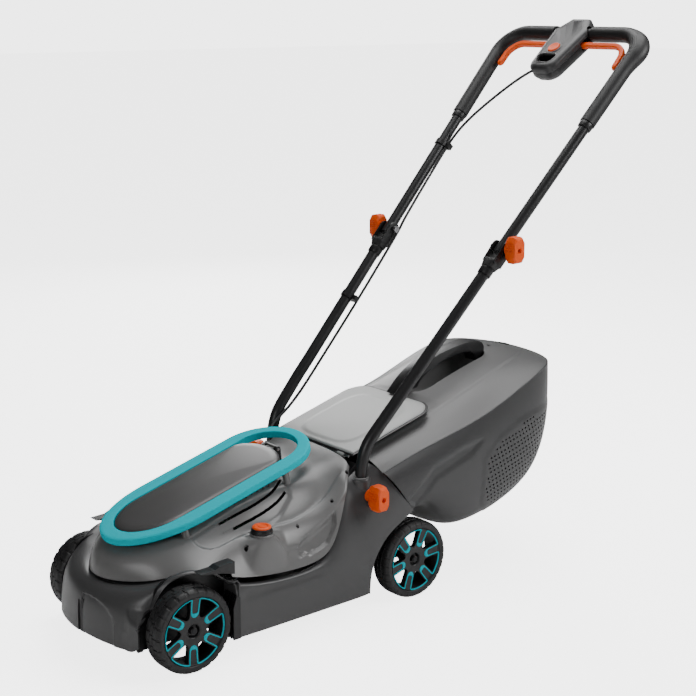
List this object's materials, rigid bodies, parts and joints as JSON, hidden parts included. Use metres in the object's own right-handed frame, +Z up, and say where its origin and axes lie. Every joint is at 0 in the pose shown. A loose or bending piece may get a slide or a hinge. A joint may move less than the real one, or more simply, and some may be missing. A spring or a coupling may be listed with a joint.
{
  "type": "push lawn mower",
  "caption": "Cordless push mower with a moulded deck, carry ring, four wheels on linked height cranks, folding U handle with switch levers, and a rigid grass box.",
  "frame": {"origin": "on the ground, under the middle of the bounding box", "axes": "+Z up, -Y towards the front of the mower, +X towards the side with the height button"},
  "size_m": [0.444, 1.3316, 1.1297],
  "materials": {
    "dark_grey_plastic": "satin moulded",
    "mid_grey_plastic": "satin moulded",
    "light_grey_plastic": "satin moulded",
    "black_plastic": "fine grain",
    "turquoise_plastic": "semi gloss",
    "orange_plastic": "satin",
    "tyre": "matte",
    "soft_rubber": "matte",
    "dark_tube": "satin powder coat",
    "steel": "plain",
    "board": "satin"
  },
  "bodies": {
    "chassis": {"lower_deck": "dark_grey_plastic", "hood": "mid_grey_plastic", "carry_ring": "turquoise_plastic", "motor_can": "steel", "motor_base": "steel", "battery_pack": "black_plastic", "controller_board": "board", "deck_screws": "steel", "button_base": "black_plastic", "height_spring": "steel", "axle_brackets": "black_plastic", "lower_tube_left": "dark_tube", "lower_tube_right": "dark_tube", "tube_forks": "black_plastic", "cover_pin": "steel", "flap_pin": "steel", "flap_springs": "steel", "cable_lower": "soft_rubber", "cable_clip_lower": "black_plastic", "crank_bushes": "black_plastic", "cover_bracket": "black_plastic", "handle_bolts": "steel", "vent_grilles": "black_plastic"},
    "wheel_front_left": {"tyre_front_left": "tyre", "rim_front_left": "black_plastic"},
    "wheel_front_right": {"tyre_front_right": "tyre", "rim_front_right": "black_plastic"},
    "wheel_rear_left": {"tyre_rear_left": "tyre", "rim_rear_left": "black_plastic"},
    "wheel_rear_right": {"tyre_rear_right": "tyre", "rim_rear_right": "black_plastic"},
    "front_crank": {"front_axle": "steel", "front_axle_nuts": "black_plastic"},
    "rear_crank": {"rear_axle": "steel", "rear_axle_nuts": "black_plastic"},
    "height_link": {"link_rod": "steel"},
    "height_push_button": {"height_button": "orange_plastic"},
    "cover": {"battery_cover": "dark_grey_plastic"},
    "cutter": {"motor_shaft": "steel", "blade": "steel", "blade_bolt": "steel", "cooling_fan": "black_plastic"},
    "flap": {"rear_flap": "light_grey_plastic"},
    "grass_box": {"grass_box_body": "dark_grey_plastic", "grass_box_top": "mid_grey_plastic", "box_handle": "black_plastic"},
    "level_indicator": {"level_flap": "mid_grey_plastic"},
    "knob_lower_left": {"lower_knob_left": "orange_plastic"},
    "knob_lower_right": {"lower_knob_right": "orange_plastic"},
    "knob_mid_left": {"mid_knob_left": "orange_plastic"},
    "knob_mid_right": {"mid_knob_right": "orange_plastic"},
    "upper_handle": {"upper_tube": "dark_tube", "hand_grips": "soft_rubber", "console_top": "dark_grey_plastic", "console_base": "black_plastic", "bail_spring": "steel", "cable_upper": "soft_rubber", "cable_clip_upper": "black_plastic"},
    "bail": {"bail_levers": "orange_plastic"},
    "start_button": {"console_button": "orange_plastic"}
  },
  "joints": [
    {"name": "front_height", "type": "hinge", "parent": "chassis", "child": "front_crank", "pos_m": [0, -0.60396, 0.09], "axis": [1, 0, 0], "range_deg": [-26.1, 0]},
    {"name": "rear_height", "type": "hinge", "parent": "chassis", "child": "rear_crank", "pos_m": [0, -0.07196, 0.09], "axis": [1, 0, 0], "range_deg": [-26.1, 0]},
    {"name": "height_link_pin", "type": "hinge", "parent": "front_crank", "child": "height_link", "pos_m": [0.126, -0.60396, 0.12], "axis": [1, 0, 0], "range_deg": [0, 26.1]},
    {"name": "height_press", "type": "slide", "parent": "chassis", "child": "height_push_button", "axis": [0, 0, -1], "range_m": [0, 0.005], "stiffness_N_per_m": 600, "springref_m": -0.003, "deforming": ["height_spring"]},
    {"name": "cover_hinge", "type": "hinge", "parent": "chassis", "child": "cover", "pos_m": [0, -0.22327, 0.31173], "axis": [-1, 0, 0], "range_deg": [0, 80]},
    {"name": "blade_spin", "type": "hinge", "parent": "chassis", "child": "cutter", "pos_m": [0, -0.2968, 0.08], "axis": [0, 0, 1], "continuous": true},
    {"name": "flap_hinge", "type": "hinge", "parent": "chassis", "child": "flap", "pos_m": [0, -0.11713, 0.29727], "axis": [1, 0, 0], "range_deg": [0, 65], "stiffness_Nm_per_rad": 0.5, "springref_deg": -22.92},
    {"name": "box_slide", "type": "slide", "parent": "chassis", "child": "grass_box", "axis": [0, 0.9659, 0.2588], "range_m": [0, 0.25]},
    {"name": "level_hinge", "type": "hinge", "parent": "grass_box", "child": "level_indicator", "pos_m": [0, 0.428, 0.41988], "axis": [-1, 0, 0], "range_deg": [0, 40]},
    {"name": "knob_lower_left_turn", "type": "hinge", "parent": "chassis", "child": "knob_lower_left", "pos_m": [-0.19, -0.1168, 0.234], "axis": [-1, 0, 0], "continuous": true},
    {"name": "knob_lower_right_turn", "type": "hinge", "parent": "chassis", "child": "knob_lower_right", "pos_m": [0.19, -0.1168, 0.234], "axis": [1, 0, 0], "continuous": true},
    {"name": "knob_mid_left_turn", "type": "hinge", "parent": "chassis", "child": "knob_mid_left", "pos_m": [-0.205, 0.2342, 0.683], "axis": [-1, 0, 0], "continuous": true},
    {"name": "knob_mid_right_turn", "type": "hinge", "parent": "chassis", "child": "knob_mid_right", "pos_m": [0.205, 0.2342, 0.683], "axis": [1, 0, 0], "continuous": true},
    {"name": "handle_fold", "type": "hinge", "parent": "chassis", "child": "upper_handle", "pos_m": [0, 0.2342, 0.683], "axis": [1, 0, 0], "range_deg": [0, 135]},
    {"name": "bail_squeeze", "type": "hinge", "parent": "upper_handle", "child": "bail", "pos_m": [0, 0.59906, 1.08422], "axis": [1, 0, 0], "range_deg": [0, 15], "stiffness_Nm_per_rad": 2, "springref_deg": -14.32},
    {"name": "start_press", "type": "slide", "parent": "upper_handle", "child": "start_button", "axis": [0, 0.6018, -0.7986], "range_m": [0, 0.003], "stiffness_N_per_m": 600, "springref_m": -0.003},
    {"name": "wheel_front_left_spin", "type": "hinge", "parent": "front_crank", "child": "wheel_front_left", "pos_m": [-0.173, -0.5448, 0.08], "axis": [1, 0, 0], "continuous": true},
    {"name": "wheel_rear_left_spin", "type": "hinge", "parent": "rear_crank", "child": "wheel_rear_left", "pos_m": [-0.173, -0.0128, 0.08], "axis": [1, 0, 0], "continuous": true},
    {"name": "wheel_front_right_spin", "type": "hinge", "parent": "front_crank", "child": "wheel_front_right", "pos_m": [0.173, -0.5448, 0.08], "axis": [1, 0, 0], "continuous": true},
    {"name": "wheel_rear_right_spin", "type": "hinge", "parent": "rear_crank", "child": "wheel_rear_right", "pos_m": [0.173, -0.0128, 0.08], "axis": [1, 0, 0], "continuous": true}
  ],
  "couplings": [
    {"joint": "rear_height", "follows": "front_height", "ratio": 1},
    {"joint": "height_link_pin", "follows": "front_height", "ratio": -1}
  ]
}
